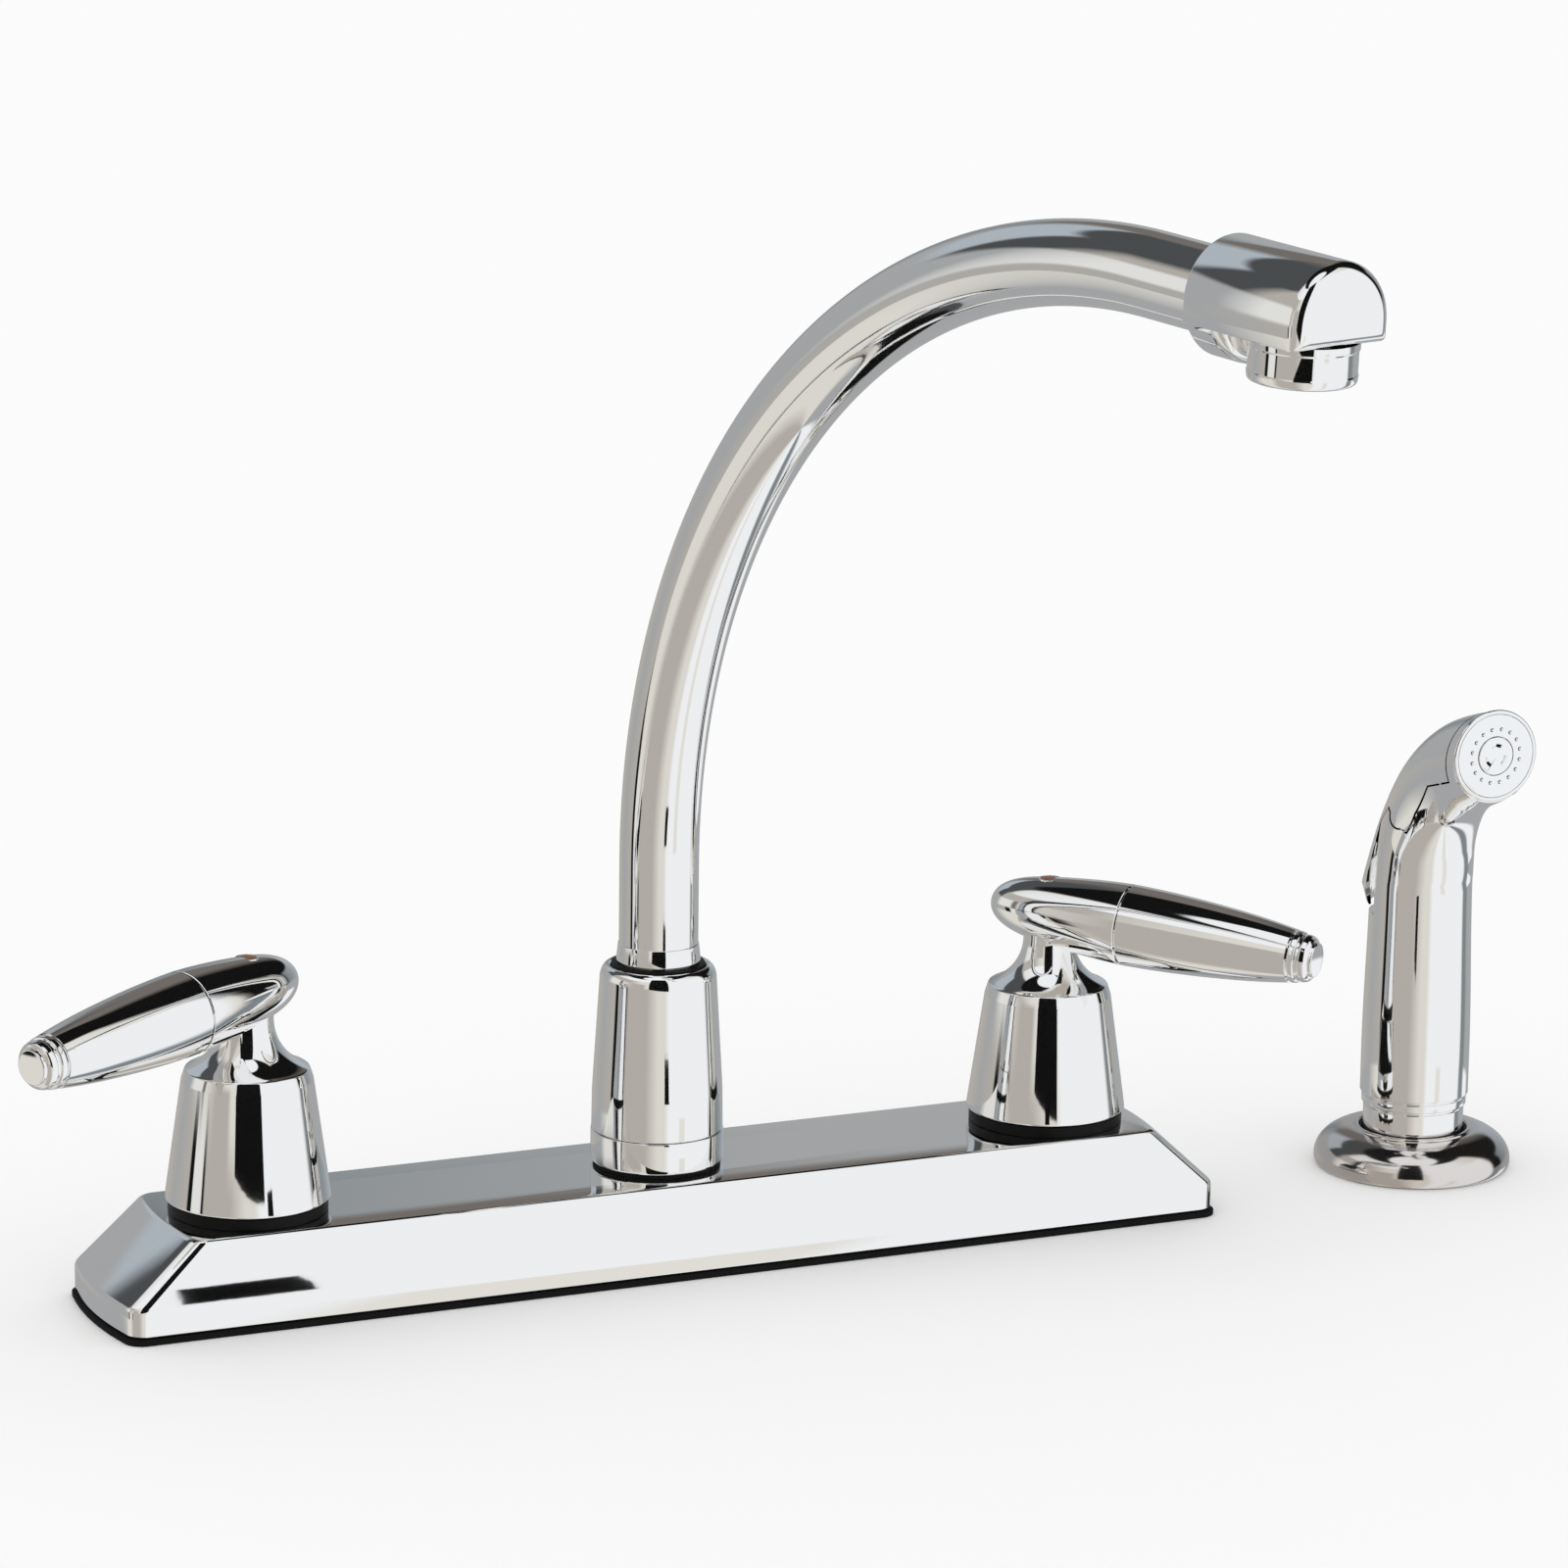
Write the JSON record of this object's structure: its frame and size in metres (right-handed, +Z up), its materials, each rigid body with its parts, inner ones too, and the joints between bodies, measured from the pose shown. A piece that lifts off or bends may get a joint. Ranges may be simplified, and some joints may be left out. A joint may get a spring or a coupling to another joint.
{
  "type": "two handle kitchen faucet",
  "caption": "Two handle kitchen faucet with a tall swivelling gooseneck spout, bell-shaped lever handles, a bridge deck plate and a separate side spray with a thumb lever.",
  "frame": {"origin": "middle of the deck plate, on the underside of its gasket, where the part rests on the sink deck", "axes": "+Z up out of the deck, +X along the plate from the spout toward the side spray, -Y toward the sink bowl and the user"},
  "size_m": [0.3922, 0.2459, 0.3196],
  "materials": {
    "chrome_plate": "polished chrome plate",
    "brass": "machined casting",
    "steel": "zinc plated",
    "black_rubber": "matte",
    "black_plastic": "satin moulded",
    "white_plastic": "moulded",
    "ceramic": "lapped ceramic",
    "index_stone": "polished",
    "bright_face": "bright chrome plated plastic"
  },
  "bodies": {
    "root": {"deck_plate": "chrome_plate", "base_gasket": "black_rubber", "waterway_body": "brass", "spray_nipple": "brass", "inlet_shank_left": "brass", "deck_washer_left": "steel", "locknut_left": "brass", "seat_seal_left": "black_rubber", "fixed_disc_left": "ceramic", "cartridge_shell_left": "brass", "bonnet_nut_left": "brass", "glide_ring_left": "black_plastic", "inlet_shank_right": "brass", "deck_washer_right": "steel", "locknut_right": "brass", "seat_seal_right": "black_rubber", "fixed_disc_right": "ceramic", "cartridge_shell_right": "brass", "bonnet_nut_right": "brass", "glide_ring_right": "black_plastic", "hub_seal": "black_rubber", "spout_base_ring": "chrome_plate", "spout_hub": "chrome_plate", "spout_bearing": "black_plastic", "spray_guide": "chrome_plate", "guide_liner": "black_plastic", "spray_locknut": "black_plastic"},
    "left_handle": {"valve_stem_left": "brass", "handle_left": "chrome_plate", "handle_screw_left": "steel", "index_button_left": "index_stone", "lever_grip_left": "chrome_plate", "lever_cap_left": "chrome_plate"},
    "right_handle": {"valve_stem_right": "brass", "handle_right": "chrome_plate", "handle_screw_right": "steel", "index_button_right": "index_stone", "lever_grip_right": "chrome_plate", "lever_cap_right": "chrome_plate"},
    "spout": {"spout_foot": "brass", "spout_o_rings": "black_rubber", "spout_tube": "chrome_plate", "tube_collar": "chrome_plate", "spout_head": "chrome_plate", "head_seal": "black_rubber", "aerator_housing": "chrome_plate", "aerator_insert": "white_plastic", "aerator_seal": "black_rubber"},
    "diverter": {"diverter_piston": "black_plastic"},
    "spray_hose_end": {"hose_coupling": "brass", "coupling_washer": "black_rubber"},
    "spray": {"spray_body": "chrome_plate", "lever_pin": "steel", "spray_face": "bright_face", "spray_nozzle": "bright_face"},
    "spray_lever": {"thumb_lever": "chrome_plate"},
    "spray_valve": {"valve_plunger": "black_plastic"}
  },
  "joints": [
    {"name": "left_handle_turn", "type": "hinge", "parent": "root", "child": "left_handle", "pos_m": [-0.1016, 0, 0.04], "axis": [0, 0, 1], "range_deg": [-27.35, 62.65]},
    {"name": "right_handle_turn", "type": "hinge", "parent": "root", "child": "right_handle", "pos_m": [0.1016, 0, 0.04], "axis": [0, 0, 1], "range_deg": [-39.56, 50.44]},
    {"name": "spout_swivel", "type": "hinge", "parent": "root", "child": "spout", "pos_m": [0, 0, 0.05], "axis": [0, 0, 1], "continuous": true},
    {"name": "diverter_slide", "type": "slide", "parent": "root", "child": "diverter", "axis": [0, 0, 1], "range_m": [0, 0.003]},
    {"name": "spray_lift", "type": "slide", "parent": "root", "child": "spray_hose_end", "axis": [0, 0, 1], "range_m": [0, 0.15]},
    {"name": "spray_swivel", "type": "hinge", "parent": "spray_hose_end", "child": "spray", "pos_m": [0.2032, 0, 0.006], "axis": [0, 0, 1], "continuous": true},
    {"name": "thumb_lever_press", "type": "hinge", "parent": "spray", "child": "spray_lever", "pos_m": [0.2032, -0.007, 0.091], "axis": [-1, 0, 0], "range_deg": [0, 4], "stiffness_Nm_per_rad": 1, "springref_deg": -2.86},
    {"name": "valve_slide", "type": "slide", "parent": "spray", "child": "spray_valve", "axis": [0, -1, 0], "range_m": [0, 0.0011]}
  ],
  "couplings": [
    {"joint": "valve_slide", "follows": "thumb_lever_press", "m_per_rad": 0.015}
  ]
}
